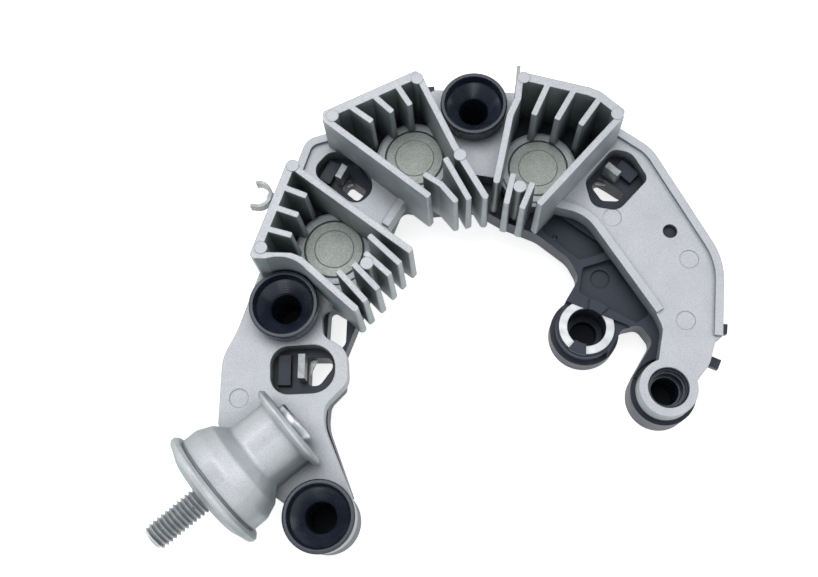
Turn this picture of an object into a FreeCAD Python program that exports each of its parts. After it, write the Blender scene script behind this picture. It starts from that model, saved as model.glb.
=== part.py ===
import FreeCAD, Part
import math
import os

# Positive side of an alternator rectifier: a die-cast horseshoe heat sink with three finned
# diode blocks, and the moulded terminal carrier under it. Millimetres, +Z up.
# Z runs from the seats of the bracket bolts. Places across the part are given from the axis
# of the rotor shaft, which passes through the open middle of the horseshoe.
shaft_x = 4.01
shaft_y = 3.38

# Heat sink plate
plate_top = 14.0
plate_thick = 4.0
rim_height = 0.8
rim_width = 1.8
mark_radius = 2.05
mark_depth = 0.15

# Walls and fins of the diode blocks
wall_height = 13.5
outer_wall_thick = 1.9
wall_thick = 1.4
fin_thick = 1.25
fin_corner = 0.35
draft_angle = 0.6
pad_radius = 1.35
pad_rise = 0.12

# Press-fit diodes
diode_circle = 29.5
diode_radius = 6.7
diode_rise = 0.5
diode_height = 5.5
diode_base = 2.7
diode_cup_wall = 1.2
diode_edge = 0.4
face_step_radius = 4.4
face_step_depth = 0.2
seat_ring_width = 1.4
seat_ring_height = 0.4
seat_floor_radius = 8.6
resin_inset = 0.3
lead_radius = 0.7
lead_head_radius = 2.1
lead_head_thick = 0.7
lead_stickout = 0.8
press_gap = 0.02

# Bushes for the bracket bolts
bush_radius = 7.5
bush_foot_radius = 7.2
bush_rise = 4.7
bush_lip = 0.9
bush_lip_height = 0.8
bush_bevel = 0.25
bush_seat_chamfer = 0.4
bush_wall_gap = 0.3
bush_funnel_radius = 6.1
bush_funnel_depth = 2.1
bush_bore_radius = 3.3
sleeve_radius = 4.9
sleeve_gap = 0.05
corner_bore_radius = 3.0
corner_sleeve_radius = 4.3
corner_sleeve_drop = 1.0
corner_step = 0.45
corner_step_depth = 1.3
corner_sleeve_bevel = 0.2

# Terminal carrier
carrier_thick = 6.0
boss_radius = 7.1
corner_boss_step = 0.4
corner_ring_radius = 6.2
corner_ring_drop = 1.0
diode_well_gap = 0.8
pocket_depth = 1.6
ridge_drop = 2.6
peg_reach = 2.6
peg_width = 2.2
peg_height = 1.8
peg_drop = 1.2
locator_radius = 1.5
locator_gap = 0.07
locator_drop = 1.2

# Phase terminals
strip_width = 2.4
strip_thick = 0.8
strip_drop = 7.1
eye_radius = 2.4
tab_thick = 1.5
tab_rise = 0.6
hook_radius = 2.9
hook_height = 2.5
hook_opening = 150.0
arm_overlap = 0.2

# Regulator terminal
contact_radius = 6.03
contact_bore = 4.25
contact_drop = 4.2
contact_thick = 0.8
contact_tail_heading = 61.0
contact_tail_reach = 8.8
contact_tail_drop = 1.8
regulator_neck_radius = 6.6
regulator_foot_radius = 7.6
regulator_foot_height = 5.2
regulator_bore_radius = 3.0
regulator_well_floor = 2.5
bridge_rise = 0.7
bridge_over = 0.35
bridge_root = 1.5

# Output terminal: a spool-shaped boss, lying flat, with the stud through it
stud_radius = 2.95
shank_radius = 3.25
shank_gap = 0.05
stud_reach = 13.4
stud_tip_chamfer = 0.6
head_radius = 4.7
head_thick = 1.6
head_bevel = 0.7
spool_heading = -140.3
spool_offset = 2.7
spool_rise = 4.9
spool_start = 49.5
spool_length = 22.5
inner_flange_radius = 9.7
inner_flange_thick = 1.7
neck_radius = 7.4
neck_end = 9.8
body_start = 12.6
body_radius = 11.6
body_taper = 3.0
shoulder_round = 1.5
body_shoulder_radius = 10.3
outer_flange_start = 19.3
outer_flange_radius = 13.3
outer_flange_thick = 1.7
flange_face_rise = 0.5
flange_face_width = 1.4
flange_groove = 0.5
dome_radius = 9.6
dome_round = 2.0
spool_edge = 0.6

# Levels worked out from the sizes above
plate_bottom = plate_top - plate_thick
wall_top = plate_top + wall_height
carrier_bottom = plate_bottom - carrier_thick
strip_bottom = plate_top - strip_drop
strip_top = strip_bottom + strip_thick
diode_face = plate_top + diode_rise
diode_foot = diode_face - diode_height
up = FreeCAD.Vector(0, 0, 1)
same_point = 0.001
bevel_limit = 0.7
overshoot = 1.0

# Places from the shaft axis, as x and y
top_bush_at = (2.4, 38.6)
left_bush_at = (-39.1, -7.6)
bottom_bush_at = (-30.5, -52.1)
corner_at = (42.3, -25.5)
regulator_at = (26.3, -11.2)
locator_at = (44.9, 9.2)
bush_places = {"top": top_bush_at, "left": left_bush_at, "bottom": bottom_bush_at}
mark_places = [(-48.7, -27.1), (32.5, 12.6), (46.9, -11.0), (48.6, 2.7)]

# Stretches of the plate's edge, each corner as x, y and its rounding
right_outer_edge = [(54.3, -14.6, 0), (56.0, 2.2, 16), (42.0, 28.6, 10), (34.9, 33.8, 0)]
w_outer_edge = [(29.0, 37.9, 6), (13.4, 42.2, 1.2)]
top_outer_edge = [(11.7, 43.2, 1), (-6.4, 44.3, 1), (-9.6, 42.7, 0)]
gap_outer_edge = [(-30.6, 33.7, 0), (-35.7, 32.2, 4), (-39.0, 22.4, 0)]
left_outer_edge = [(-45.5, 0.4, 0), (-49.6, -12.0, 12), (-52.7, -18.4, 9), (-52.9, -32.8, 1.5)]
bottom_edge = [(-40.3, -47.8, 3), (-36.5, -50.5, 0), (-30.5, -52.1, 0), (-24.3, -48.0, 0)]
left_inner_edge = [(-30.6, -32.5, 9), (-30.1, -28.6, 3), (-25.3, -23.8, 4), (-25.8, -16.6, 4),
                   (-31.0, -13.6, 2.5), (-31.3, -8.4, 3), (-28.6, -5.4, 1)]
u_inner_edge = [(-23.4, -3.8, 3), (-19.4, 1.2, 3), (-18.2, 7.6, 3)]
gap_inner_edge = [(-16.9, 10.9, 0), (-12.5, 17.7, 0)]
v_inner_edge = [(-8.4, 17.3, 2), (-2.6, 20.0, 3)]
top_inner_edge = [(1.2, 23.4, 1), (7.4, 22.3, 1)]
w_inner_edge = [(9.8, 18.4, 2), (12.4, 15.2, 1.5)]
right_inner_edge = [(18.6, 15.4, 0), (26.6, 13.2, 9), (40.7, -9.4, 0)]
corner_edge = [(42.0, -12.6, 4), (40.5, -20.0, 2), (38.0, -23.0, 0), (42.3, -25.5, 0),
               (47.6, -25.0, 0), (51.2, -20.6, 4), (52.8, -15.6, 0)]
plate_edge = (right_outer_edge + w_outer_edge + top_outer_edge + gap_outer_edge
              + left_outer_edge + bottom_edge + left_inner_edge + u_inner_edge + gap_inner_edge
              + v_inner_edge + top_inner_edge + w_inner_edge + right_inner_edge + corner_edge)

# Windows over the lead tabs, and the clear ways through the carrier beside the tabs, with each
# corner given from the middle of its tab
windows = {
    "u": [(-7.0, 4.3, 4), (7.2, 5.1, 5), (7.2, -5.7, 5), (-6.6, -6.2, 4)],
    "v": [(-7.2, 0.2, 3), (-2.8, 5.2, 3), (3.2, 4.0, 4), (8.3, -4.2, 4), (3.2, -8.2, 3)],
    "w": [(-6.4, -2.4, 3), (0.2, 5.1, 2.5), (4.4, 4.2, 4), (7.8, -2.2, 2),
          (0.8, -9.6, 3), (-5.0, -8.6, 3)],
}
lead_ways = {
    "u": [(1.0, 2.7, 0.8), (6.2, 2.7, 1.5), (6.2, 0.3, 2), (3.4, -3.5, 2),
          (1.0, -3.5, 0.8)],
    "v": [(1.4, 0.0, 0.8), (5.6, -3.2, 1), (3.3, -5.8, 1), (-0.5, -2.6, 0.8)],
    "w": [(-0.6, -1.2, 0.8), (1.7, -2.9, 0.6), (3.2, -3.8, 0.6), (1.4, -6.0, 1.2),
          (-2.2, -5.8, 1.5), (-4.4, -2.4, 1), (-2.6, 0.0, 0.8)],
}

# Each block: its diode's angle on the circle, its walls, fins and pads as places on their
# centre lines at the top, and the corners of its pocket that lie away from the diode
blocks = {
    "u": {
        "angle": 168.3,
        "outer_wall": [(-37.1, 20.6), (-44.0, 0.8)],
        "side_walls": [[(-36.7, 20.5), (-11.8, 1.4)],
                       [(-44.0, 0.6), (-36.5, 0.3), (-34.3, -0.6), (-22.8, -11.1)]],
        "outer_fins": [[(-38.6, 15.7), (-34.0, 13.8)], [(-40.2, 11.2), (-35.6, 9.5)],
                       [(-41.9, 6.5), (-36.9, 5.0)]],
        "inner_fins": [[(-19.7, 4.2), (-14.0, -1.3)], [(-20.5, 0.4), (-16.1, -3.7)],
                       [(-22.9, -1.9), (-18.5, -6.7)], [(-26.1, -3.4), (-21.0, -9.2)]],
        "pads": [(-36.6, 20.5), (-42.7, 2.2), (-20.5, -1.5)],
        "pocket": [(-30.2, 15.4), (-37.1, 20.6), (-44.0, 0.7), (-36.5, 0.3), (-34.3, -0.6)],
    },
    "v": {
        "angle": 112.1,
        "outer_wall": [(-29.5, 32.3), (-10.4, 41.2)],
        "side_walls": [[(-29.6, 31.0), (-8.0, 13.5)],
                       [(-9.5, 40.6), (-2.0, 24.2), (4.2, 12.9)]],
        "outer_fins": [[(-24.9, 34.4), (-20.2, 30.8)], [(-19.7, 36.8), (-15.8, 33.0)],
                       [(-14.6, 39.2), (-11.8, 34.6)]],
        "inner_fins": [[(-8.2, 17.9), (-5.0, 15.7), (-2.1, 12.1)], [(-3.8, 21.2), (0.6, 12.7)]],
        "pads": [(-28.3, 31.9), (-10.0, 40.4), (-0.9, 22.3)],
        "pocket": [(-22.0, 24.9), (-29.5, 31.9), (-10.2, 40.9), (-5.4, 31.6)],
    },
    "w": {
        "angle": 55.9,
        "outer_wall": [(13.0, 40.4), (27.0, 36.5), (28.9, 35.6), (33.3, 31.6)],
        "side_walls": [[(12.3, 40.2), (11.7, 35.3), (9.9, 31.3), (6.7, 16.4)],
                       [(33.2, 30.4), (15.8, 11.4)]],
        "outer_fins": [[(18.4, 38.8), (15.2, 31.8)], [(23.9, 37.2), (20.1, 30.6)],
                       [(29.4, 35.2), (25.1, 29.2)]],
        "inner_fins": [[(10.1, 17.3), (8.7, 11.7)], [(14.0, 15.2), (12.0, 10.5)]],
        "pads": [(13.1, 40.1), (32.7, 31.1), (11.5, 14.9)],
        "pocket": [(9.9, 31.3), (11.7, 35.3), (12.6, 40.0), (27.0, 36.5), (33.1, 31.0),
                   (25.4, 21.9)],
    },
}

# Each phase terminal: its strip's run from the hook by way of the diode to the lead tab, the
# way its hook opens, and its tab's middle, heading and length. The ridge of the carrier that
# steadies the tab is given by its middle, from the tab's, and its size, at the same heading.
terminals = {
    "u": {"hook": (-47.4, 21.2), "opening": 176.0, "arm": 0.6,
          "to_tab": [(-32.3, -2.6), (-32.3, -13.4)],
          "tab": (-35.4, -20.3), "heading": 90.0, "length": 5.4,
          "ridge": (-4.1, -0.2), "ridge_size": (6.8, 2.8)},
    "v": {"hook": (-11.6, 47.0), "opening": 104.0, "arm": 0.6,
          "to_tab": [(-18.0, 28.2)],
          "tab": (-27.6, 24.4), "heading": 62.0, "length": 3.4,
          "ridge": (-3.0, 1.2), "ridge_size": (5.4, 2.9)},
    "w": {"hook": (15.6, 46.6), "opening": 84.0, "arm": 4.8,
          "to_tab": [(24.0, 25.4)],
          "tab": (33.2, 23.8), "heading": -43.0, "length": 3.6,
          "ridge": (3.4, 0.7), "ridge_size": (5.0, 3.2)},
}

# Carrier where it stands clear of the plate, from the right corner round to the bottom bush
carrier_outer_edge = [(47.2, -26.0, 0), (53.6, -13.8, 4), (54.8, 2.0, 15),
                      (41.2, 27.6, 10), (28.6, 36.6, 6), (13.6, 40.9, 1),
                      (11.2, 42.2, 1), (-5.8, 43.2, 1), (-9.4, 41.5, 0), (-30.6, 32.4, 2),
                      (-34.8, 31.0, 3.5), (-48.5, -12.2, 12),
                      (-51.5, -18.6, 9), (-51.8, -31.8, 1.5), (-39.8, -46.4, 3),
                      (-35.5, -50.2, 0), (-30.5, -52.1, 0), (-24.6, -47.4, 0)]
carrier_inner_edge = [(-30.2, -32.4, 9), (-29.9, -27.6, 3), (-26.4, -24.0, 1.5),
                      (-27.2, -18.4, 5), (-20.4, -0.6, 6), (-17.6, 9.4, 3),
                      (-14.2, 18.0, 2), (-8.6, 16.6, 3), (2.0, 17.6, 6), (8.4, 13.6, 5),
                      (16.2, 10.2, 8), (23.0, 4.6, 6), (25.2, 0.0, 3), (20.1, -8.4, 3),
                      (26.3, -11.2, 0), (30.9, -17.0, 0), (34.0, -11.6, 2), (37.9, -10.8, 2),
                      (40.4, -14.6, 2), (35.9, -21.9, 0), (42.3, -25.5, 0)]
side_gap = [(-30.2, -5.6, 1), (-26.2, -8.0, 1), (-26.4, -14.4, 2), (-28.0, -16.4, 1),
            (-30.6, -13.4, 1)]
carrier_pockets = [
    [(17.0, 11.4, 0.8), (20.4, 15.4, 1), (32.4, 6.2, 1), (25.4, 4.2, 0.8)],
    [(26.0, 2.3, 0.8), (33.0, 4.4, 1), (40.2, -8.4, 1), (37.2, -10.4, 0.8), (25.0, -3.2, 0.8)],
]
recess_at = (29.9, 0.1)
recess_radius = 2.1
recess_depth = 0.6
pinhole_at = (20.3, 10.0)
pinhole_radius = 0.55
pegs = [
    {"at": (54.3, -11.4), "heading": -8.0},
    {"at": (52.2, -18.6), "heading": -24.0},
    {"at": (-7.5, 45.2), "heading": 95.0},
]
bridges = [{"heading": 61.0, "span": 42.0}, {"heading": -113.0, "span": 36.0}]
regulator_landing = [(19.0, -4.0, 0), (36.8, -11.6, 0), (36.0, -26.0, 0), (14.0, -26.0, 0)]


def beside(place, corners):
    # Corners given from a place, as corners from the shaft axis
    return [(place[0] + x, place[1] + y, rounding) for x, y, rounding in corners]


def spot(place, z=0.0):
    return FreeCAD.Vector(shaft_x + place[0], shaft_y + place[1], z)


def round_corners(points, radii, closed=True):
    # Wire of straight runs through the points, with an arc of the given radius at each, or a
    # bevel where the radius is small
    count = len(points)
    edges = []
    ends = []
    for index, here in enumerate(points):
        radius = radii[index]
        at_end = not closed and index in (0, count - 1)
        if radius == 0 or at_end:
            ends.append((here, here, None))
            continue
        back = (points[index - 1] - here).normalize()
        forward = (points[(index + 1) % count] - here).normalize()
        half = back.getAngle(forward) / 2
        reach = radius / math.tan(half)
        middle = here + (back + forward).normalize() * (radius / math.sin(half) - radius)
        ends.append((here + back * reach, here + forward * reach, middle))
    for index, (first, last, middle) in enumerate(ends):
        if middle is not None and radii[index] > bevel_limit:
            edges.append(Part.Arc(first, middle, last).toShape())
        elif middle is not None:
            edges.append(Part.LineSegment(first, last).toShape())
        if closed or index < count - 1:
            following = ends[(index + 1) % count][0]
            if (following - last).Length > same_point:
                edges.append(Part.LineSegment(last, following).toShape())
    return Part.Wire(edges)


def edge_wire(corners, z, closed=True):
    points = [spot(corner, z) for corner in corners]
    return round_corners(points, [corner[2] for corner in corners], closed)


def slab(corners, bottom, top):
    return Part.Face(edge_wire(corners, bottom)).extrude(up * (top - bottom))


def post(place, radius, bottom, top):
    return Part.makeCylinder(radius, top - bottom, spot(place, bottom), up)


def turned(profile, place):
    # Solid of revolution about an upright axis, from corners given as radius, height, rounding
    points = [FreeCAD.Vector(radius, 0, z) for radius, z, rounding in profile]
    face = Part.Face(round_corners(points, [corner[2] for corner in profile]))
    solid = face.revolve(FreeCAD.Vector(0, 0, 0), up, 360)
    solid.translate(spot(place))
    return solid


def box_at(place, heading, length, width, bottom, top):
    # Upright block about a place, its length along the heading
    block = Part.makeBox(length, width, top - bottom, FreeCAD.Vector(-length / 2, -width / 2, 0))
    block.rotate(FreeCAD.Vector(0, 0, 0), up, heading)
    block.translate(spot(place, bottom))
    return block


def stadium(start, end, width, z):
    # Closed wire round a straight run, half round at both ends
    first = spot(start, z)
    last = spot(end, z)
    along = (last - first).normalize() * (width / 2)
    side = FreeCAD.Vector(-along.y, along.x, 0)
    return Part.Wire([
        Part.LineSegment(first + side, last + side).toShape(),
        Part.Arc(last + side, last + along, last - side).toShape(),
        Part.LineSegment(last - side, first - side).toShape(),
        Part.Arc(first - side, first - along, first + side).toShape(),
    ])


def strip(run, width, bottom, top):
    # Flat strip of constant width along a run of places
    pieces = []
    for start, end in zip(run, run[1:]):
        face = Part.Face(stadium(start, end, width, bottom))
        pieces.append(face.extrude(up * (top - bottom)))
    return joined(pieces)


def blunt(start, end, width, z):
    # Closed wire round a straight run, square at both ends with its corners taken off
    first = spot(start, z)
    last = spot(end, z)
    along = (last - first).normalize()
    side = FreeCAD.Vector(-along.y, along.x, 0) * (width / 2)
    corner = side * (1 - fin_corner)
    reach = along * (width / 2)
    nearly = reach * (1 - fin_corner)
    points = [first + side - nearly, last + side + nearly, last + corner + reach,
              last - corner + reach, last - side + nearly, first - side - nearly,
              first - corner - reach, first + corner - reach]
    return Part.makePolygon(points + points[:1])


def drafted_wall(run, thick, outline):
    # Cast wall from the underside of the plate to the wall top, thinner towards the top
    spread = 2 * (wall_top - plate_bottom) * math.tan(math.radians(draft_angle))
    pieces = []
    for start, end in zip(run, run[1:]):
        foot = outline(start, end, thick + spread, plate_bottom)
        crest = outline(start, end, thick, wall_top)
        pieces.append(Part.makeLoft([foot, crest], True, True))
    return pieces


def joined(pieces):
    first = pieces[0]
    if len(pieces) == 1:
        return first
    return first.fuse(pieces[1:]).removeSplitter()


def diode_place(name):
    angle = math.radians(blocks[name]["angle"])
    return (diode_circle * math.cos(angle), diode_circle * math.sin(angle))


def rim(corners):
    # Low raised band along a stretch of the plate's edge
    wire = edge_wire(corners, plate_top, closed=False)
    if len(corners) == 2:
        first, last = corners
        across = (spot(last) - spot(first)).normalize() * rim_width
        inward = FreeCAD.Vector(-across.y, across.x, 0)
        band = wire.extrude(inward)
    else:
        band = wire.makeOffset2D(-rim_width, 0, True, True)
    return band.extrude(up * rim_height)


def pocket_cutter(name):
    # Way through the plate between the fins, stopping at the floor round the diode
    block = blocks[name]
    centre = diode_place(name)
    corners = [(x, y, 0) for x, y in block["pocket"]] + [(centre[0], centre[1], 0)]
    way = slab(corners, plate_bottom, plate_top)
    return way.cut(post(centre, seat_floor_radius, plate_bottom, plate_top))


def block_walls(name):
    block = blocks[name]
    pieces = drafted_wall(block["outer_wall"], outer_wall_thick, stadium)
    for run in block["side_walls"]:
        outline = blunt if len(run) == 2 else stadium
        pieces += drafted_wall(run, wall_thick, outline)
    for run in block["outer_fins"] + block["inner_fins"]:
        outline = blunt if len(run) == 2 else stadium
        pieces += drafted_wall(run, fin_thick, outline)
    for place in block["pads"]:
        pieces.append(post(place, pad_radius, plate_bottom, wall_top + pad_rise))
    return pieces


def along_spool(solid):
    # Moves a solid modelled about the Z axis onto the axis of the output stud
    heading = math.radians(spool_heading)
    ahead = FreeCAD.Vector(math.cos(heading), math.sin(heading), 0)
    aside = FreeCAD.Vector(-ahead.y, ahead.x, 0)
    foot = spot((0, 0), plate_top + spool_rise) + aside * spool_offset
    solid.Placement = FreeCAD.Placement(foot, FreeCAD.Rotation(up, ahead))
    return solid


def spool_turning(profile):
    points = [FreeCAD.Vector(radius, 0, spool_start + z) for z, radius, rounding in profile]
    face = Part.Face(round_corners(points, [corner[2] for corner in profile]))
    return along_spool(face.revolve(FreeCAD.Vector(0, 0, 0), up, 360))


def make_spool():
    rim_end = outer_flange_start + outer_flange_thick
    small_end = spool_turning([
        (0, 0, 0),
        (0, inner_flange_radius, spool_edge),
        (inner_flange_thick, inner_flange_radius, spool_edge),
        (inner_flange_thick, neck_radius, spool_edge),
        (neck_end, neck_radius, 0),
        (neck_end, 0, 0),
    ])
    large_end = spool_turning([
        (neck_end - spool_edge, 0, 0),
        (neck_end - spool_edge, neck_radius, 0),
        (neck_end, neck_radius, shoulder_round),
        (body_start, body_shoulder_radius, shoulder_round),
        (body_start + body_taper, body_radius, body_taper),
        (outer_flange_start - flange_groove, body_radius, 0),
        (outer_flange_start - flange_groove, body_radius - flange_groove, 0),
        (outer_flange_start, body_radius - flange_groove, 0),
        (outer_flange_start, outer_flange_radius, spool_edge),
        (rim_end, outer_flange_radius, spool_edge),
        (rim_end + flange_face_rise, outer_flange_radius - flange_face_width, spool_edge),
        (spool_length, dome_radius, dome_round),
        (spool_length, 0, 0),
    ])
    depth = plate_thick + spool_rise
    saddle = Part.makeBox(neck_end - inner_flange_thick / 2 + spool_edge, 2 * neck_radius, depth)
    saddle.translate(FreeCAD.Vector(spool_start + inner_flange_thick / 2, -neck_radius, 0))
    saddle.rotate(FreeCAD.Vector(0, 0, 0), up, spool_heading)
    heading = math.radians(spool_heading)
    aside = FreeCAD.Vector(-math.sin(heading), math.cos(heading), 0)
    saddle.translate(spot((0, 0), plate_bottom) + aside * spool_offset)
    below = post((0, 0), spool_start + spool_length, plate_bottom - inner_flange_radius,
                 plate_bottom)
    return [small_end.cut(below), large_end, saddle]


def make_heat_sink():
    body = slab(plate_edge, plate_bottom, plate_top)
    body = body.cut([pocket_cutter(name) for name in blocks])
    pieces = []
    for name in blocks:
        pieces += block_walls(name)
        ring_radius = diode_radius + seat_ring_width
        pieces.append(post(diode_place(name), ring_radius, plate_bottom,
                           plate_top + seat_ring_height))
    for stretch in (right_outer_edge, gap_outer_edge, gap_inner_edge, right_inner_edge):
        pieces.append(rim(stretch))
    for place in bush_places.values():
        pieces.append(post(place, bush_foot_radius, plate_bottom, plate_top))
    pieces.append(post(corner_at, corner_ring_radius, plate_bottom - corner_ring_drop, plate_top))
    pieces += make_spool()
    body = body.fuse(pieces)
    below = plate_bottom - corner_ring_drop - overshoot
    above = plate_top + rim_height + overshoot
    cutters = []
    for name, corners in windows.items():
        cutters.append(slab(beside(terminals[name]["tab"], corners), below, above))
    for name in blocks:
        cutters.append(post(diode_place(name), diode_radius + press_gap, below, above))
    for place in bush_places.values():
        cutters.append(post(place, sleeve_radius + sleeve_gap, below, above))
        cutters.append(post(place, bush_radius + bush_wall_gap, plate_top, wall_top + overshoot))
    cutters.append(post(corner_at, corner_sleeve_radius + sleeve_gap, below, above))
    cutters.append(post(locator_at, locator_radius + locator_gap, below, above))
    bore = Part.makeCylinder(shank_radius + shank_gap, spool_length + 2 * overshoot,
                             FreeCAD.Vector(0, 0, spool_start - overshoot), up)
    cutters.append(along_spool(bore))
    for place in mark_places:
        cutters.append(post(place, mark_radius, plate_top - mark_depth, above))
    return body.cut(cutters).removeSplitter()


def make_bush(place):
    # Flanged insulating bush: a funnel-mouthed cup on the plate and a sleeve down to its seat
    rim_top = plate_top + bush_rise
    funnel_top = rim_top - bush_funnel_depth
    return turned([
        (bush_bore_radius, 0, 0),
        (sleeve_radius, 0, 0),
        (sleeve_radius, plate_top, 0),
        (bush_foot_radius, plate_top, 0),
        (bush_radius, rim_top - bush_lip_height, 0),
        (bush_radius, rim_top, bush_bevel),
        (bush_radius - bush_lip, rim_top, 0),
        (bush_funnel_radius, funnel_top, 0),
        (bush_bore_radius + bush_seat_chamfer, plate_top + bush_seat_chamfer, 0),
        (bush_bore_radius, plate_top, 0),
    ], place)


def make_corner_bush():
    # Stepped insulating sleeve inside the cast ring at the right-hand corner
    top = plate_top - corner_sleeve_drop
    outer_step = corner_bore_radius + 2 * corner_step
    inner_step = corner_bore_radius + corner_step
    return turned([
        (corner_bore_radius, 0, 0),
        (corner_sleeve_radius, 0, 0),
        (corner_sleeve_radius, top - corner_sleeve_bevel, 0),
        (corner_sleeve_radius - corner_sleeve_bevel, top, 0),
        (outer_step, top, 0),
        (outer_step, top - corner_step_depth, 0),
        (inner_step, top - corner_step_depth, 0),
        (inner_step, top - 3 * corner_step_depth, 0),
        (corner_bore_radius, top - 3 * corner_step_depth, 0),
    ], corner_at)


def make_diode_case(name):
    cup_radius = diode_radius - diode_cup_wall
    cup_top = diode_face - diode_base
    return turned([
        (0, diode_face - face_step_depth, 0),
        (face_step_radius - face_step_depth, diode_face - face_step_depth, 0),
        (face_step_radius, diode_face, 0),
        (diode_radius, diode_face, diode_edge),
        (diode_radius, diode_foot, 0),
        (cup_radius, diode_foot, 0),
        (cup_radius, cup_top, 0),
        (0, cup_top, 0),
    ], diode_place(name))


def make_diode_lead(name):
    # Nail-headed lead, its head against the floor of the cup
    head_top = diode_face - diode_base
    return turned([
        (0, strip_bottom - lead_stickout, 0),
        (lead_radius, strip_bottom - lead_stickout, 0),
        (lead_radius, head_top - lead_head_thick, 0),
        (lead_head_radius, head_top - lead_head_thick, 0),
        (lead_head_radius, head_top, 0),
        (0, head_top, 0),
    ], diode_place(name))


def make_diode_resin(name):
    cup_radius = diode_radius - diode_cup_wall
    head_top = diode_face - diode_base
    bottom = diode_foot + resin_inset
    return turned([
        (lead_radius, bottom, 0),
        (cup_radius, bottom, 0),
        (cup_radius, head_top, 0),
        (lead_head_radius, head_top, 0),
        (lead_head_radius, head_top - lead_head_thick, 0),
        (lead_radius, head_top - lead_head_thick, 0),
    ], diode_place(name))


def hook_loop(place, opening, arm):
    # Open loop on edge that a stator lead is laid in, with one arm drawn out straight
    outer = hook_radius + strip_thick / 2
    inner = hook_radius - strip_thick / 2
    top = strip_bottom + hook_height
    ring = post(place, outer, strip_bottom, top).cut(post(place, inner, strip_bottom, top))
    reach = 2 * outer
    half = math.radians(hook_opening / 2)
    mouth = [(place[0], place[1], 0)]
    for turn in (-half, 0, half):
        angle = math.radians(opening) + turn
        far = reach if turn else 2 * reach
        mouth.append((place[0] + far * math.cos(angle), place[1] + far * math.sin(angle), 0))
    loop = ring.cut(slab(mouth, strip_bottom, top))
    side = math.radians(opening) + half
    foot = (place[0] + hook_radius * math.cos(side), place[1] + hook_radius * math.sin(side))
    heading = math.radians(opening)
    centre = (foot[0] + arm / 2 * math.cos(heading), foot[1] + arm / 2 * math.sin(heading))
    straight = box_at(centre, opening, arm + arm_overlap, strip_thick, strip_bottom, top)
    return loop.fuse(straight)


def make_phase_terminal(name):
    terminal = terminals[name]
    centre = diode_place(name)
    opening = math.radians(terminal["opening"])
    hook = terminal["hook"]
    back = (hook[0] - hook_radius * math.cos(opening), hook[1] - hook_radius * math.sin(opening))
    run = [back, centre] + terminal["to_tab"] + [terminal["tab"]]
    pieces = [strip(run, strip_width, strip_bottom, strip_top)]
    pieces.append(post(centre, eye_radius, strip_bottom, strip_top))
    pieces.append(hook_loop(hook, terminal["opening"], terminal["arm"]))
    tab_top = plate_top + tab_rise
    pieces.append(box_at(terminal["tab"], terminal["heading"], terminal["length"], tab_thick,
                         strip_bottom, tab_top))
    eye = post(centre, lead_radius, strip_bottom, strip_top)
    return joined(pieces).cut(eye).removeSplitter()


def make_regulator_terminal():
    # Tinned ring on the regulator boss, its tail bent down and laid in the moulding
    top = plate_top - contact_drop
    bottom = top - contact_thick
    ring = post(regulator_at, contact_radius, bottom, top)
    ring = ring.cut(post(regulator_at, contact_bore, bottom, top))
    ahead = math.radians(contact_tail_heading)
    places = []
    for reach in (contact_radius - contact_thick / 2, contact_tail_reach):
        places.append((regulator_at[0] + reach * math.cos(ahead),
                       regulator_at[1] + reach * math.sin(ahead)))
    bend = box_at(places[0], contact_tail_heading, contact_thick, strip_width,
                  bottom - contact_tail_drop, top)
    tail = strip(places, strip_width, bottom - contact_tail_drop, top - contact_tail_drop)
    return joined([ring, bend, tail])


def regulator_bridges():
    # Moulded claws that hold the ring down on both sides
    top = plate_top - contact_drop + bridge_rise
    bottom = top - bridge_rise - contact_thick - bridge_root
    claws = []
    band = post(regulator_at, contact_radius + bridge_over, bottom, top)
    band = band.cut(post(regulator_at, contact_bore - bridge_over, bottom, top))
    for bridge in bridges:
        wedge = [(regulator_at[0], regulator_at[1], 0)]
        for turn in (-bridge["span"] / 2, bridge["span"] / 2):
            heading = math.radians(bridge["heading"] + turn)
            wedge.append((regulator_at[0] + 2 * contact_radius * math.cos(heading),
                          regulator_at[1] + 2 * contact_radius * math.sin(heading), 0))
        claws.append(band.common(slab(wedge, bottom, top)))
    return claws


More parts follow.
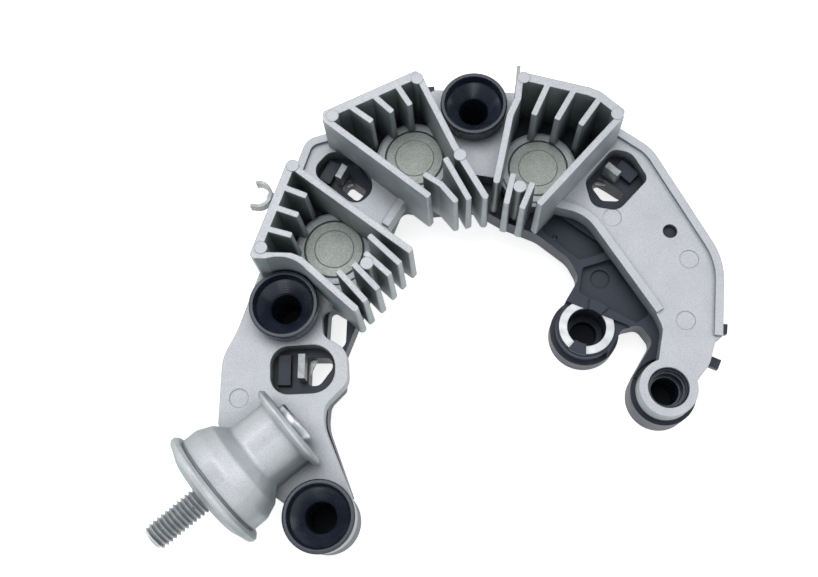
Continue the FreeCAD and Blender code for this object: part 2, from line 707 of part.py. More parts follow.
def make_carrier(inserts):
    contact_bottom = plate_top - contact_drop - contact_thick
    body = slab(carrier_outer_edge + carrier_inner_edge, carrier_bottom, plate_bottom)
    pieces = []
    for place in bush_places.values():
        pieces.append(post(place, boss_radius, 0, plate_bottom))
    corner_top = plate_bottom - corner_ring_drop
    boss_base = corner_top - 3 * corner_boss_step
    pieces.append(post(corner_at, boss_radius, 0, boss_base))
    pieces.append(post(corner_at, boss_radius - corner_boss_step, 0, boss_base + corner_boss_step))
    pieces.append(post(corner_at, boss_radius - 2 * corner_boss_step, 0, corner_top))
    pieces.append(post(regulator_at, regulator_foot_radius, 0, regulator_foot_height))
    pieces.append(post(regulator_at, regulator_neck_radius, 0, contact_bottom))
    for peg in pegs:
        pieces.append(box_at(peg["at"], peg["heading"], 2 * peg_reach, peg_width,
                             plate_bottom - peg_drop - peg_height, plate_bottom - peg_drop))
    body = body.fuse(pieces)
    above = plate_bottom + overshoot
    cutters = [slab(regulator_landing, contact_bottom, above),
               post(corner_at, boss_radius, corner_top, above),
               slab(side_gap, -overshoot, above)]
    for name in blocks:
        cutters.append(post(diode_place(name), diode_radius + diode_well_gap, -overshoot, above))
        way = beside(terminals[name]["tab"], lead_ways[name])
        cutters.append(slab(way, -overshoot, above))
    for place in bush_places.values():
        cutters.append(post(place, sleeve_radius + sleeve_gap, -overshoot, above))
    cutters.append(post(corner_at, corner_sleeve_radius + sleeve_gap, -overshoot, above))
    cutters.append(post(regulator_at, contact_bore, regulator_well_floor, plate_top))
    cutters.append(post(regulator_at, regulator_bore_radius, -overshoot, plate_top))
    for corners in carrier_pockets:
        cutters.append(slab(corners, plate_bottom - pocket_depth, above))
    cutters.append(post(recess_at, recess_radius, plate_bottom - pocket_depth - recess_depth,
                        plate_bottom))
    cutters.append(post(pinhole_at, pinhole_radius, -overshoot, above))
    body = body.cut(cutters)
    extras = regulator_bridges()
    extras.append(post(locator_at, locator_radius, plate_bottom - overshoot,
                       plate_top - locator_drop))
    for name, terminal in terminals.items():
        length, width = terminal["ridge_size"]
        tab = terminal["tab"]
        middle = (tab[0] + terminal["ridge"][0], tab[1] + terminal["ridge"][1])
        extras.append(box_at(middle, terminal["heading"], length, width,
                             plate_bottom - overshoot, plate_top - ridge_drop))
    body = body.fuse(extras).removeSplitter()
    return body.cut(inserts).removeSplitter()


def make_output_stud():
    # Round-headed stud through the spool, its head against the inner flange
    shank_end = spool_start + spool_length
    tip = shank_end + stud_reach
    points = [
        (0, spool_start - head_thick, 0),
        (head_radius, spool_start - head_thick, head_bevel),
        (head_radius, spool_start, 0),
        (shank_radius, spool_start, 0),
        (shank_radius, shank_end, 0),
        (stud_radius, shank_end, 0),
        (stud_radius, tip - stud_tip_chamfer, 0),
        (stud_radius - stud_tip_chamfer, tip, 0),
        (0, tip, 0),
    ]
    corners = [FreeCAD.Vector(radius, 0, z) for radius, z, rounding in points]
    face = Part.Face(round_corners(corners, [point[2] for point in points]))
    return along_spool(face.revolve(FreeCAD.Vector(0, 0, 0), up, 360))


def build():
    nodes = {"heat_sink": make_heat_sink(), "output_stud": make_output_stud()}
    inserts = []
    for name in blocks:
        nodes["diode_case_" + name] = make_diode_case(name)
        nodes["diode_lead_" + name] = make_diode_lead(name)
        nodes["diode_resin_" + name] = make_diode_resin(name)
        nodes["phase_terminal_" + name] = make_phase_terminal(name)
        inserts.append(nodes["phase_terminal_" + name])
    nodes["regulator_terminal"] = make_regulator_terminal()
    inserts.append(nodes["regulator_terminal"])
    nodes["terminal_carrier"] = make_carrier(inserts)
    for name, place in bush_places.items():
        nodes["bush_" + name] = make_bush(place)
    nodes["bush_corner"] = make_corner_bush()
    return nodes


os.makedirs("parts", exist_ok=True)
for node, shape in build().items():
    if shape.ShapeType == "Compound" and len(shape.Solids) == 1:
        shape = shape.Solids[0]
    shape.exportStep("parts/" + node + ".step")
    box = shape.BoundBox
    print(node, len(shape.Solids), shape.isValid(), round(shape.Volume, 1),
          [round(v, 2) for v in (box.XMin, box.XMax, box.YMin, box.YMax, box.ZMin, box.ZMax)])
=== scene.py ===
import math
import bpy
from mathutils import Matrix, Vector


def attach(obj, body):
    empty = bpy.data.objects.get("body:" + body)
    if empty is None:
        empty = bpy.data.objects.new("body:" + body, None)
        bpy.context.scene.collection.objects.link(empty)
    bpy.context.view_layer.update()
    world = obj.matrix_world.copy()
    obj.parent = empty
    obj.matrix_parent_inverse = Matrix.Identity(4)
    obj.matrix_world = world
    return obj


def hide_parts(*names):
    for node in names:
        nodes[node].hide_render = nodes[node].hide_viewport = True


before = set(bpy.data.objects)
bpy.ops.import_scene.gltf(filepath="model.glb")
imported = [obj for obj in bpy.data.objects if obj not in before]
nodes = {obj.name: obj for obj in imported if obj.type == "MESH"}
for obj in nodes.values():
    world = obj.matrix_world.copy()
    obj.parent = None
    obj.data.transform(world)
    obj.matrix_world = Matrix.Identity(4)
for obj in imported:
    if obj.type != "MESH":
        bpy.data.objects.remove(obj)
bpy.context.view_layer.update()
mm = 0.001

# where things lie in the part, in millimetres; holes and diodes are counted from the shaft's axis
shaftX, shaftY = 4.01, 3.38
boltHoles = [(2.4, 38.6), (-39.1, -7.6), (-30.5, -52.1), (42.3, -25.5), (26.3, -11.2)]
diodeCircle = 29.5
diodeAngles = (168.3, 112.1, 55.9)
diodeCentres = []
for degrees in diodeAngles:
    angle = math.radians(degrees)
    diodeCentres.append((diodeCircle * math.cos(angle), diodeCircle * math.sin(angle)))

black = (0.0, 0.0, 0.0)
white = (1.0, 1.0, 1.0)


def selectOnly(*objects):
    bpy.ops.object.select_all(action="DESELECT")
    for obj in objects:
        obj.select_set(True)
    bpy.context.view_layer.objects.active = objects[0]


def applyModifier(obj, kind, **settings):
    modifier = obj.modifiers.new(kind.title(), kind)
    for key, value in settings.items():
        setattr(modifier, key, value)
    selectOnly(obj)
    bpy.ops.object.modifier_apply(modifier=modifier.name)


def dressIn(obj, material):
    obj.data.materials.clear()
    obj.data.materials.append(material)


class Finish:
    # a new material with its principled shader, and short ways to add nodes to it
    # how the painted shade in recesses is sampled and ramped
    paintedShadeSamples = 8
    paintedShadeSpan = (0.2, 0.9)
    edgeSamples = 6

    def __init__(self, name, colour, roughness, metallic=0.0):
        self.material = bpy.data.materials.new(name)
        self.material.use_nodes = True
        self.tree = self.material.node_tree
        self.shader = self.tree.nodes["Principled BSDF"]
        self.feed("Base Color", colour)
        self.feed("Roughness", roughness)
        self.feed("Metallic", metallic)
        self.place = self.add("ShaderNodeTexCoord").outputs["Object"]

    def add(self, kind, **settings):
        node = self.tree.nodes.new(kind)
        for key, value in settings.items():
            setattr(node, key, value)
        return node

    def put(self, value, socket):
        # the value is another node's output, a colour or a number
        if hasattr(value, "links"):
            self.tree.links.new(value, socket)
        elif isinstance(value, tuple):
            socket.default_value = (*value, 1)
        else:
            socket.default_value = value

    def feed(self, socketName, value):
        self.put(value, self.shader.inputs[socketName])

    def maths(self, operation, *values):
        node = self.add("ShaderNodeMath", operation=operation)
        for value, socket in zip(values, node.inputs):
            self.put(value, socket)
        return node.outputs[0]

    def noise(self, scale, detail=2.0, roughness=0.5):
        node = self.add("ShaderNodeTexNoise")
        self.put(scale, node.inputs["Scale"])
        self.put(detail, node.inputs["Detail"])
        self.put(roughness, node.inputs["Roughness"])
        self.put(self.place, node.inputs["Vector"])
        return node.outputs["Fac"]

    def ramp(self, source, first, second, span=(0.3, 0.7)):
        # from the first colour to the second as the source crosses the span
        node = self.add("ShaderNodeValToRGB")
        for element, position, colour in zip(node.color_ramp.elements, span, (first, second)):
            element.position = position
            element.color = (*colour, 1)
        self.put(source, node.inputs["Fac"])
        return node.outputs["Color"]

    def greys(self, source, first, second):
        return self.ramp(source, (first,) * 3, (second,) * 3)

    def mixed(self, factor, first, second, blend="MIX"):
        # a Mix node has its colours in sockets 6 and 7, and its mixed colour in output 2
        node = self.add("ShaderNodeMix", data_type="RGBA", blend_type=blend)
        for value, index in ((factor, 0), (first, 6), (second, 7)):
            self.put(value, node.inputs[index])
        return node.outputs[2]

    def shaded(self, colour, shade):
        return self.mixed(1.0, colour, shade, "MULTIPLY")

    def bumpFrom(self, source, strength, depth, normal):
        node = self.add("ShaderNodeBump")
        self.put(strength, node.inputs["Strength"])
        self.put(depth * mm, node.inputs["Distance"])
        self.put(source, node.inputs["Height"])
        self.put(normal, node.inputs["Normal"])
        return node.outputs["Normal"]

    def mapped(self, source, near, far, lowest=0.0):
        # rises from lowest to one as the source goes from near to far, both in mm
        node = self.add("ShaderNodeMapRange")
        self.put(near * mm, node.inputs["From Min"])
        self.put(far * mm, node.inputs["From Max"])
        self.put(lowest, node.inputs["To Min"])
        self.put(source, node.inputs["Value"])
        return node.outputs["Result"]

    def nearestOf(self, places):
        # distance in metres to the nearest of several upright axes
        flat = self.add("ShaderNodeVectorMath", operation="MULTIPLY")
        flat.inputs[1].default_value = (1, 1, 0)
        self.put(self.place, flat.inputs[0])
        nearest = None
        for x, y in places:
            distance = self.add("ShaderNodeVectorMath", operation="DISTANCE")
            distance.inputs[1].default_value = ((shaftX + x) * mm, (shaftY + y) * mm, 0)
            self.put(flat.outputs[0], distance.inputs[0])
            if nearest is None:
                nearest = distance.outputs["Value"]
            else:
                nearest = self.maths("MINIMUM", nearest, distance.outputs["Value"])
        return nearest

    def turnedRings(self, places, spacing):
        # waves round each axis, as a lathe tool leaves them
        turns = self.maths("MULTIPLY", self.nearestOf(places), 2 * math.pi / (spacing * mm))
        return self.maths("SINE", turns)

    def paintedShade(self, reach, darkest):
        # painted shade: a grey that falls from white to the darkest where faces close by shut the light out
        node = self.add("ShaderNodeAmbientOcclusion", samples=self.paintedShadeSamples)
        self.put(reach * mm, node.inputs["Distance"])
        return self.ramp(node.outputs["AO"], (darkest,) * 3, white, self.paintedShadeSpan)

    def softEdges(self, radius):
        node = self.add("ShaderNodeBevel", samples=self.edgeSamples)
        self.put(radius * mm, node.inputs["Radius"])
        return node.outputs[0]

    def upward(self):
        # how far a face looks up, from -1 to 1
        parts = self.add("ShaderNodeSeparateXYZ")
        self.put(self.add("ShaderNodeNewGeometry").outputs["Normal"], parts.inputs[0])
        return parts.outputs["Z"]


# in the looks below, scale, detail and rough belong to a noise, and colours and roughnesses come in
# pairs, for its low and its high end; depths, edges, spacings and reaches are in mm

castLook = {
    "plain": (0.6, 0.62, 0.65), "plainRoughness": 0.5, "metallic": 0.3,
    "grainScale": 4200, "grainDetail": 3, "grainRough": 0.6,
    "cloudScale": 160, "cloudDetail": 4, "cloudRough": 0.6,
    # painted light and shade: faces that look up are painted lighter and side faces darker; each still
    # carries the casting's grain or clouds
    "paintedLitTops": ((0.62, 0.635, 0.66), (0.82, 0.835, 0.86)), "paintedLitTopsSpan": (0.32, 0.68),
    "sides": ((0.33, 0.38, 0.392), (0.45, 0.50, 0.512)), "sidesSpan": (0.3, 0.75),
    "paintedShadeToLight": (0.45, 0.9),              # how far up a face looks where side faces turn into faces that look up, and the painted shade into the painted light
    "levelPaintedShade": (0.74, 0.745, 0.755),    # painted shade: quite level faces are a little darker
    "levelPaintedShadeSpan": (0.97, 1.0),
    "stain": (0.9, 0.91, 0.92),
    # painted shade in recesses: how far it reaches and how dark it gets
    "paintedShadeReach": 6, "paintedShadeDarkest": 0.5,
    "roughness": (0.54, 0.42),
    "bump": 0.35, "bumpDepth": 0.05, "edge": 0.28,
}


def makeCastAluminium():
    look = castLook
    finish = Finish("castAluminium", look["plain"], look["plainRoughness"], look["metallic"])
    grain = finish.noise(look["grainScale"], look["grainDetail"], look["grainRough"])
    cloud = finish.noise(look["cloudScale"], look["cloudDetail"], look["cloudRough"])
    # painted light on faces that look up and painted shade on side faces, over the grain and clouds
    paintedLitTops = finish.ramp(grain, *look["paintedLitTops"], look["paintedLitTopsSpan"])
    sides = finish.ramp(cloud, *look["sides"], look["sidesSpan"])
    upward = finish.upward()
    paintedLightByFacing = finish.ramp(upward, black, white, look["paintedShadeToLight"])
    # painted shade on faces that look straight up
    level = finish.ramp(upward, white, look["levelPaintedShade"], look["levelPaintedShadeSpan"])
    colour = finish.shaded(finish.mixed(paintedLightByFacing, sides, paintedLitTops), level)
    colour = finish.shaded(colour, finish.ramp(cloud, look["stain"], white))
    # painted shade in recesses and between parts
    colour = finish.shaded(colour, finish.paintedShade(look["paintedShadeReach"], look["paintedShadeDarkest"]))
    finish.feed("Base Color", colour)
    finish.feed("Roughness", finish.greys(grain, *look["roughness"]))
    edges = finish.softEdges(look["edge"])
    finish.feed("Normal", finish.bumpFrom(grain, look["bump"], look["bumpDepth"], edges))
    return finish.material


carrierLook = {
    "plain": (0.045, 0.05, 0.072), "plainRoughness": 0.42,
    "cloudScale": 220, "cloudDetail": 3, "cloudRough": 0.55,
    "grainScale": 3000, "grainDetail": 2, "grainRough": 0.5,
    "colours": ((0.019, 0.026, 0.046), (0.036, 0.046, 0.072)),
    # painted shade in recesses: how far it reaches and how dark it gets
    "paintedShadeReach": 4, "paintedShadeDarkest": 0.1,
    "gloss": 0.3,
    "roughness": (0.38, 0.5),
    "bump": 0.12, "bumpDepth": 0.02, "edge": 0.25,
}


def makeCarrierPlastic():
    look = carrierLook
    finish = Finish("carrierPlastic", look["plain"], look["plainRoughness"])
    cloud = finish.noise(look["cloudScale"], look["cloudDetail"], look["cloudRough"])
    grain = finish.noise(look["grainScale"], look["grainDetail"], look["grainRough"])
    colour = finish.ramp(cloud, *look["colours"])
    # painted shade in recesses, deepest inside the windows
    colour = finish.shaded(colour, finish.paintedShade(look["paintedShadeReach"], look["paintedShadeDarkest"]))
    finish.feed("Base Color", colour)
    finish.feed("Specular IOR Level", look["gloss"])
    finish.feed("Roughness", finish.greys(cloud, *look["roughness"]))
    edges = finish.softEdges(look["edge"])
    finish.feed("Normal", finish.bumpFrom(grain, look["bump"], look["bumpDepth"], edges))
    return finish.material


bushLook = {
    "plain": (0.012, 0.014, 0.022), "plainRoughness": 0.28,
    "cloudScale": 300, "cloudDetail": 3, "cloudRough": 0.55,
    "colours": ((0.012, 0.017, 0.031), (0.025, 0.033, 0.056)),
    "roughness": (0.2, 0.32),
    "ringSpacing": 0.45, "ringBump": 0.3, "ringDepth": 0.012, "edge": 0.3,
}


def makeBushPlastic():
    look = bushLook
    finish = Finish("bushPlastic", look["plain"], look["plainRoughness"])
    cloud = finish.noise(look["cloudScale"], look["cloudDetail"], look["cloudRough"])
    finish.feed("Base Color", finish.ramp(cloud, *look["colours"]))
    finish.feed("Roughness", finish.greys(cloud, *look["roughness"]))
    rings = finish.turnedRings(boltHoles, look["ringSpacing"])
    edges = finish.softEdges(look["edge"])
    finish.feed("Normal", finish.bumpFrom(rings, look["ringBump"], look["ringDepth"], edges))
    return finish.material


nickelLook = {
    "plain": (0.3, 0.32, 0.3), "plainRoughness": 0.5, "metallic": 0.6,
    "speckScale": 2600, "speckDetail": 3, "speckRough": 0.65,
    "cloudScale": 260, "cloudDetail": 3, "cloudRough": 0.5,
    "colours": ((0.265, 0.285, 0.268), (0.35, 0.375, 0.352)), "colourSpan": (0.35, 0.65),
    "stain": (0.86, 0.87, 0.86),
    "roughness": (0.56, 0.44),
    "ringSpacing": 0.5, "ringBump": 0.35, "ringDepth": 0.01, "edge": 0.25,
    "speckBump": 0.25, "speckDepth": 0.03,
}


def makeDullNickel():
    look = nickelLook
    finish = Finish("dullNickel", look["plain"], look["plainRoughness"], look["metallic"])
    speck = finish.noise(look["speckScale"], look["speckDetail"], look["speckRough"])
    cloud = finish.noise(look["cloudScale"], look["cloudDetail"], look["cloudRough"])
    speckled = finish.ramp(speck, *look["colours"], look["colourSpan"])
    finish.feed("Base Color", finish.shaded(speckled, finish.ramp(cloud, look["stain"], white)))
    finish.feed("Roughness", finish.greys(speck, *look["roughness"]))
    rings = finish.turnedRings(diodeCentres, look["ringSpacing"])
    edges = finish.softEdges(look["edge"])
    turned = finish.bumpFrom(rings, look["ringBump"], look["ringDepth"], edges)
    finish.feed("Normal", finish.bumpFrom(speck, look["speckBump"], look["speckDepth"], turned))
    return finish.material


tinLook = {
    "plainRoughness": 0.36, "metallic": 0.45,
    "cloudScale": 420, "cloudDetail": 4, "cloudRough": 0.6,
    "grainScale": 2400,
    # painted shade or light in recesses: how far the mask reaches and how dark it gets
    "paintedShadeReach": 3, "paintedShadeDarkest": 0.0,
    "roughness": (0.46, 0.32),
    "bump": 0.12, "bumpDepth": 0.02, "edge": 0.2,
}
brightTinColours = {
    "dark": (0.46, 0.475, 0.48),
    "light": (0.62, 0.635, 0.64),
    "recessPaintedTone": (0.46, 0.475, 0.48),      # painted shade where the plate's edges stand close round it, the same as the dark end
}
dullTinColours = {
    "dark": (0.2, 0.215, 0.215),
    "light": (0.36, 0.38, 0.38),
    # painted light where the plate's edges stand close round it, lighter than the open faces
    "recessPaintedTone": (0.62, 0.67, 0.67),
}


def makeTin(name, colours):
    look = tinLook
    finish = Finish(name, colours["light"], look["plainRoughness"], look["metallic"])
    cloud = finish.noise(look["cloudScale"], look["cloudDetail"], look["cloudRough"])
    # the painted tone in recesses takes over where faces close by shut the light out
    paintedRecessMask = finish.paintedShade(look["paintedShadeReach"], look["paintedShadeDarkest"])
    clouded = finish.ramp(cloud, colours["dark"], colours["light"])
    finish.feed("Base Color", finish.mixed(paintedRecessMask, colours["recessPaintedTone"], clouded))
    finish.feed("Roughness", finish.greys(cloud, *look["roughness"]))
    grain = finish.noise(look["grainScale"])
    edges = finish.softEdges(look["edge"])
    finish.feed("Normal", finish.bumpFrom(grain, look["bump"], look["bumpDepth"], edges))
    return finish.material


zincLook = {
    "plain": (0.34, 0.36, 0.38), "plainRoughness": 0.36, "metallic": 1.0,
    "cloudScale": 500, "cloudDetail": 3, "cloudRough": 0.6,
    "colours": ((0.38, 0.40, 0.415), (0.56, 0.58, 0.595)),
    # painted shade in the thread's grooves: how far it reaches and how dark it gets
    "paintedShadeReach": 1.2, "paintedShadeDarkest": 0.03,
    "roughness": (0.36, 0.26),
}


def makeZincSteel():
    look = zincLook
    finish = Finish("zincSteel", look["plain"], look["plainRoughness"], look["metallic"])
    cloud = finish.noise(look["cloudScale"], look["cloudDetail"], look["cloudRough"])
    colour = finish.ramp(cloud, *look["colours"])
    # painted shade in the thread's grooves and under the head
    colour = finish.shaded(colour, finish.paintedShade(look["paintedShadeReach"], look["paintedShadeDarkest"]))
    finish.feed("Base Color", colour)
    finish.feed("Roughness", finish.greys(cloud, *look["roughness"]))
    return finish.material


resinLook = {
    "plain": (0.03, 0.03, 0.03), "plainRoughness": 0.5,
    "cloudScale": 700, "cloudDetail": 3,
    "colours": ((0.02, 0.02, 0.02), (0.05, 0.048, 0.045)),
}


def makeResin():
    look = resinLook
    finish = Finish("pottingResin", look["plain"], look["plainRoughness"])
    cloud = finish.noise(look["cloudScale"], look["cloudDetail"])
    finish.feed("Base Color", finish.ramp(cloud, *look["colours"]))
    return finish.material


castAluminium = makeCastAluminium()
carrierPlastic = makeCarrierPlastic()
bushPlastic = makeBushPlastic()
dullNickel = makeDullNickel()
brightTin = makeTin("brightTin", brightTinColours)
dullTin = makeTin("dullTin", dullTinColours)
zincSteel = makeZincSteel()
pottingResin = makeResin()

nodeFinishes = {
    "heat_sink": castAluminium,
    "terminal_carrier": carrierPlastic,
    "regulator_terminal": brightTin,
    "output_stud": zincSteel,
}
for place in ("top", "left", "bottom", "corner"):
    nodeFinishes["bush_" + place] = bushPlastic
for phase in "uvw":
    nodeFinishes["diode_case_" + phase] = dullNickel
    nodeFinishes["diode_lead_" + phase] = dullTin
    nodeFinishes["diode_resin_" + phase] = pottingResin
    nodeFinishes["phase_terminal_" + phase] = dullTin
for name, material in nodeFinishes.items():
    dressIn(nodes[name], material)
print("finishes done")


# the output stud, with its thread; lengths in mm, and those along the axis from nearest the shaft
stud = {
    "heading": -140.3,          # the way it points, in degrees
    "aside": 2.7,               # its axis, sideways from the shaft's
    "height": 18.9,
    "headStart": 47.9,
    "headEnd": 49.5,
    "headRadius": 4.7,
    "headRound": 0.75,
    "headStep": 15,             # degrees from point to point of the head's round edge
    "panRadius": 3.1,           # the shallow pan in the head, and how much wider it is at the face
    "panDepth": 0.35,
    "panFlare": 0.35,
    "threadStart": 66.0,
    "threadOverlap": 0.42,      # how far the thread's rod goes into the shank
    "overlapSpare": 0.1,        # how much thicker than the root it may be in there
    "coneLength": 0.7,          # the shank ends in a cone inside the thread
    "coneInside": 0.1,          # and this far under its root
    "tip": 85.4,
    "tipBevel": 0.7,
    "crestRadius": 2.95,
    "rootRadius": 2.38,
    "pitch": 1.0,
    "rootEnd": 0.1,             # the tooth, in shares of the pitch
    "crestStart": 0.46,
    "crestEnd": 0.6,
    "nextRoot": 0.96,
    "steps": 64,                # points round the axis
    "smoothAngle": 25,
    "mergeReach": 1e-6,         # in metres, for points that are joined and for the cuts
    "cutReach": 1e-8,
    "slack": 0.01,
}


def studMatrix():
    heading = math.radians(stud["heading"])
    ahead = Vector((math.cos(heading), math.sin(heading), 0))
    aside = Vector((-ahead.y, ahead.x, 0))
    foot = Vector((shaftX, shaftY, stud["height"])) + aside * stud["aside"]
    turned = ahead.to_track_quat("Z", "Y").to_matrix().to_4x4()
    return Matrix.Translation(foot * mm) @ turned


def latheAbout(name, profile, rise=0.0, turns=1):
    # a profile of radius and height in mm, drawn point by point and screwed about the Z axis
    bpy.ops.object.select_all(action="DESELECT")
    bpy.ops.mesh.primitive_plane_add(size=mm, location=(0, 0, 0))
    obj = bpy.context.object
    obj.name = name
    bpy.ops.object.mode_set(mode="EDIT")
    bpy.ops.mesh.merge(type="CENTER")
    firstRadius, firstHeight = profile[0]
    bpy.ops.transform.translate(value=(firstRadius * mm, 0, firstHeight * mm))
    for (radius, height), (nextRadius, nextHeight) in zip(profile, profile[1:]):
        step = ((nextRadius - radius) * mm, 0, (nextHeight - height) * mm)
        bpy.ops.mesh.extrude_region_move(TRANSFORM_OT_translate={"value": step})
    bpy.ops.object.mode_set(mode="OBJECT")
    applyModifier(obj, "SCREW", axis="Z", angle=2 * math.pi, steps=stud["steps"], render_steps=stud["steps"],
                  screw_offset=rise * mm, iterations=turns, use_merge_vertices=True,
                  merge_threshold=stud["mergeReach"], use_normal_calculate=True)
    selectOnly(obj)
    bpy.ops.object.mode_set(mode="EDIT")
    bpy.ops.mesh.select_all(action="SELECT")
    bpy.ops.mesh.remove_doubles(threshold=stud["mergeReach"])
    bpy.ops.object.mode_set(mode="OBJECT")
    return obj


def makeThread():
    # turns of the tooth past both ends of the thread, then cut square at each end
    pitch, root, crest, tip = stud["pitch"], stud["rootRadius"], stud["crestRadius"], stud["tip"]
    start = stud["threadStart"] - 2 * pitch
    turns = math.ceil((tip - start) / pitch)
    tooth = [(root, 0.0), (root, stud["rootEnd"] * pitch), (crest, stud["crestStart"] * pitch),
             (crest, stud["crestEnd"] * pitch), (root, stud["nextRoot"] * pitch), (root, pitch)]
    profile = [(radius, start + height) for radius, height in tooth]
    thread = latheAbout("outputStudThread", profile, pitch, turns)
    hidden = stud["threadStart"] - stud["threadOverlap"]
    selectOnly(thread)
    bpy.ops.object.mode_set(mode="EDIT")
    for height in (hidden, tip):
        bpy.ops.mesh.select_all(action="SELECT")
        bpy.ops.mesh.bisect(plane_co=(0, 0, height * mm), plane_no=(0, 0, 1), threshold=stud["cutReach"],
                            clear_inner=height == hidden, clear_outer=height == tip)
        bpy.ops.mesh.edge_face_add()
    bpy.ops.object.mode_set(mode="OBJECT")
    # bevel at the tip, and nothing as wide as the shank inside it
    for vertex in thread.data.vertices:
        height = vertex.co.z / mm
        limit = crest - max(0.0, height - (tip - stud["tipBevel"]))
        if height < stud["threadStart"] - stud["slack"]:
            limit = root + stud["overlapSpare"]
        radius = math.hypot(vertex.co.x, vertex.co.y) / mm
        if radius > limit:
            vertex.co.x *= limit / radius
            vertex.co.y *= limit / radius
    return thread


def makeStud():
    # head and plain shank, turned in one piece
    start, end, shank = stud["headStart"], stud["headEnd"], stud["crestRadius"]
    panFloor = start + stud["panDepth"]
    profile = [(0, panFloor), (stud["panRadius"], panFloor), (stud["panRadius"] + stud["panFlare"], start)]
    for degrees in range(0, 91, stud["headStep"]):
        turn = math.radians(degrees)
        profile.append((stud["headRadius"] - stud["headRound"] * (1 - math.sin(turn)),
                        start + stud["headRound"] * (1 - math.cos(turn))))
    coneEnd = stud["threadStart"] + stud["coneLength"]
    profile += [(stud["headRadius"], end), (shank, end), (shank, stud["threadStart"]),
                (stud["rootRadius"] - stud["coneInside"], coneEnd), (0, coneEnd)]
    body = latheAbout("outputStudCore", profile)
    thread = makeThread()
    for piece in (body, thread):
        piece.data.transform(studMatrix())
        selectOnly(piece)
        bpy.ops.object.mode_set(mode="EDIT")
        bpy.ops.mesh.select_all(action="SELECT")
        bpy.ops.mesh.normals_make_consistent(inside=False)
        bpy.ops.object.mode_set(mode="OBJECT")
        bpy.ops.object.shade_smooth_by_angle(angle=math.radians(stud["smoothAngle"]))
        dressIn(piece, zincSteel)
    selectOnly(body, thread)
    bpy.ops.object.join()
    body.name = "threadedStud"
    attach(body, "root")
    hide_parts("output_stud")


makeStud()
print("output stud done")


# camera, lamps, world and floor
camera = {
    "place": (1.314, -63.032, 234.0),
    "right": (0.999036, 0.0, -0.043896),
    "up": (0.012115, 0.961160, 0.275724),
    "back": (0.042191, -0.275990, 0.960234),
    "focalPixels": 1050.0,
    "imageWidth": 818.0,
    "sensorWidth": 36.0,
    "clipStart": 0.01,          # in metres
    "clipEnd": 20.0,
}
cameraData = bpy.data.cameras.new("photoCamera")
cameraData.sensor_width = camera["sensorWidth"]
cameraData.lens = camera["sensorWidth"] * camera["focalPixels"] / camera["imageWidth"]
cameraData.clip_start = camera["clipStart"]
cameraData.clip_end = camera["clipEnd"]
photoCamera = bpy.data.objects.new("photoCamera", cameraData)
bpy.context.scene.collection.objects.link(photoCamera)
axes = Matrix((camera["right"], camera["up"], camera["back"])).transposed()
photoCamera.matrix_world = Matrix.Translation(Vector(camera["place"]) * mm) @ axes.to_4x4()
bpy.context.scene.camera = photoCamera

lamps = [
    # name, place in mm, aim in mm, size in mm, watts
    ("keyLamp", (-90, 150, 520), (0, 0, 10), 440, 1.2),
    ("fillLamp", (300, 60, 420), (0, 0, 10), 300, 0.4),
    ("frontLamp", (-60, -460, 240), (0, 0, 15), 300, 0.35),
    ("leftLamp", (-480, 40, 150), (0, 0, 15), 260, 0.3),
    ("rightLamp", (480, 120, 150), (0, 0, 15), 260, 0.25),
]
for name, place, aim, size, watts in lamps:
    data = bpy.data.lights.new(name, "AREA")
    data.shape = "DISK"
    data.size = size * mm
    data.energy = watts
    lamp = bpy.data.objects.new(name, data)
    bpy.context.scene.collection.objects.link(lamp)
    lamp.location = Vector(place) * mm
    lamp.rotation_euler = (Vector(aim) - Vector(place)).to_track_quat("-Z", "Y").to_euler()


def seenRays(tree):
    # one for rays that show the background: to the camera, in gloss and through glass
    path = tree.nodes.new("ShaderNodeLightPath")
    total = path.outputs["Is Camera Ray"]
    for name in ("Is Glossy Ray", "Is Transmission Ray"):
        both = tree.nodes.new("ShaderNodeMath")
        both.operation = "MAXIMUM"
        tree.links.new(total, both.inputs[0])
        tree.links.new(path.outputs[name], both.inputs[1])
        total = both.outputs[0]
    return total


room = {
    "colour": (0.95, 0.97, 1.0, 1),
    "light": 0.2,               # what lights the part
    "seen": 1.05,               # what shows behind it and in its gloss
}
world = bpy.data.worlds.new("paleRoom")
bpy.context.scene.world = world
world.use_nodes = True
strength = world.node_tree.nodes.new("ShaderNodeMapRange")
strength.inputs["To Min"].default_value = room["light"]
strength.inputs["To Max"].default_value = room["seen"]
world.node_tree.links.new(seenRays(world.node_tree), strength.inputs["Value"])
background = world.node_tree.nodes["Background"]
background.inputs["Color"].default_value = room["colour"]
world.node_tree.links.new(strength.outputs["Result"], background.inputs["Strength"])
bpy.context.scene.view_settings.view_transform = "Standard"

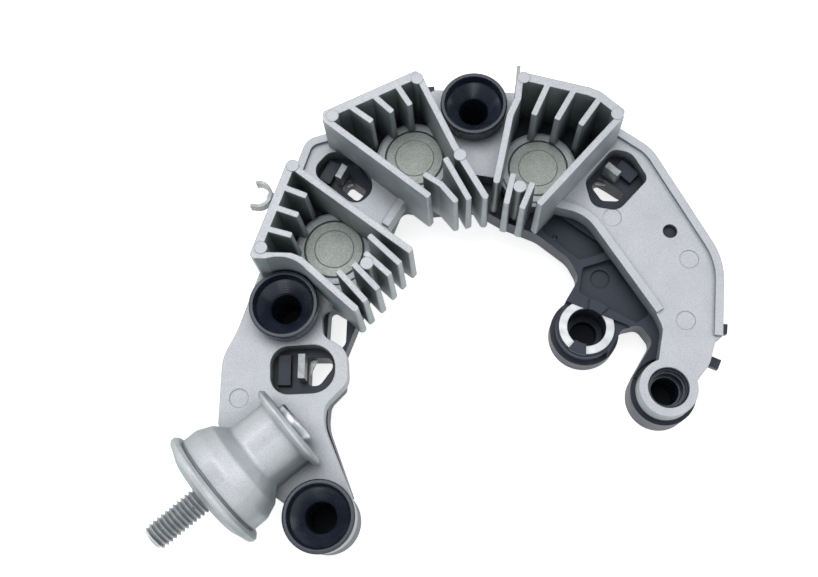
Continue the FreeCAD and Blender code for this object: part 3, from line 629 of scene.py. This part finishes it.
floorLook = {
    "width": 6000,                         # all its lengths are in mm
    "pale": (0.86, 0.86, 0.86),
    "roughness": 0.9,
    "dark": (0.015, 0.017, 0.022),         # painted shade under the bolt holes, which no light reaches
    "paintedHoleShadeTo": 4.4,                         # from a bolt hole's axis
    "paintedHoleShadeEndsFrom": 5.4,
    "leastGlow": 0.78,                     # near the part, so that its shadow shows
    "leastGlowTo": 40,
    "fullGlowFrom": 500,
}


def makeFloorFinish():
    # pale, and with its own glow to the rays that show the background; painted shade under the bolt holes,
    # without glow
    look = floorLook
    finish = Finish("paleFloor", look["pale"], look["roughness"])
    toHole = finish.nearestOf(boltHoles)
    # painted shade under each bolt hole: nought near its axis, rising to one further out, and it dims the
    # glow too
    paintedHoleShadeFade = finish.mapped(toHole, look["paintedHoleShadeTo"], look["paintedHoleShadeEndsFrom"])
    finish.feed("Base Color", finish.ramp(paintedHoleShadeFade, look["dark"], look["pale"], (0, 1)))
    glowing = finish.mapped(toHole, look["leastGlowTo"], look["fullGlowFrom"], look["leastGlow"])
    glow = finish.add("ShaderNodeEmission")
    finish.put(finish.maths("MULTIPLY", paintedHoleShadeFade, glowing), glow.inputs["Strength"])
    lit = finish.add("ShaderNodeAddShader")
    finish.put(finish.shader.outputs[0], lit.inputs[0])
    finish.put(glow.outputs[0], lit.inputs[1])
    shown = finish.add("ShaderNodeMixShader")
    finish.put(seenRays(finish.tree), shown.inputs[0])
    finish.put(finish.shader.outputs[0], shown.inputs[1])
    finish.put(lit.outputs[0], shown.inputs[2])
    # nothing of it shows from below
    oneSided = finish.add("ShaderNodeMixShader")
    finish.put(finish.add("ShaderNodeNewGeometry").outputs["Backfacing"], oneSided.inputs[0])
    finish.put(shown.outputs[0], oneSided.inputs[1])
    finish.put(finish.add("ShaderNodeBsdfTransparent").outputs[0], oneSided.inputs[2])
    finish.put(oneSided.outputs[0], finish.tree.nodes["Material Output"].inputs["Surface"])
    return finish.material


bpy.ops.object.select_all(action="DESELECT")
bpy.ops.mesh.primitive_plane_add(size=floorLook["width"] * mm, location=(0, 0, 0))
floor = bpy.context.object
floor.name = "floor"
dressIn(floor, makeFloorFinish())
print("camera, lamps and floor done")
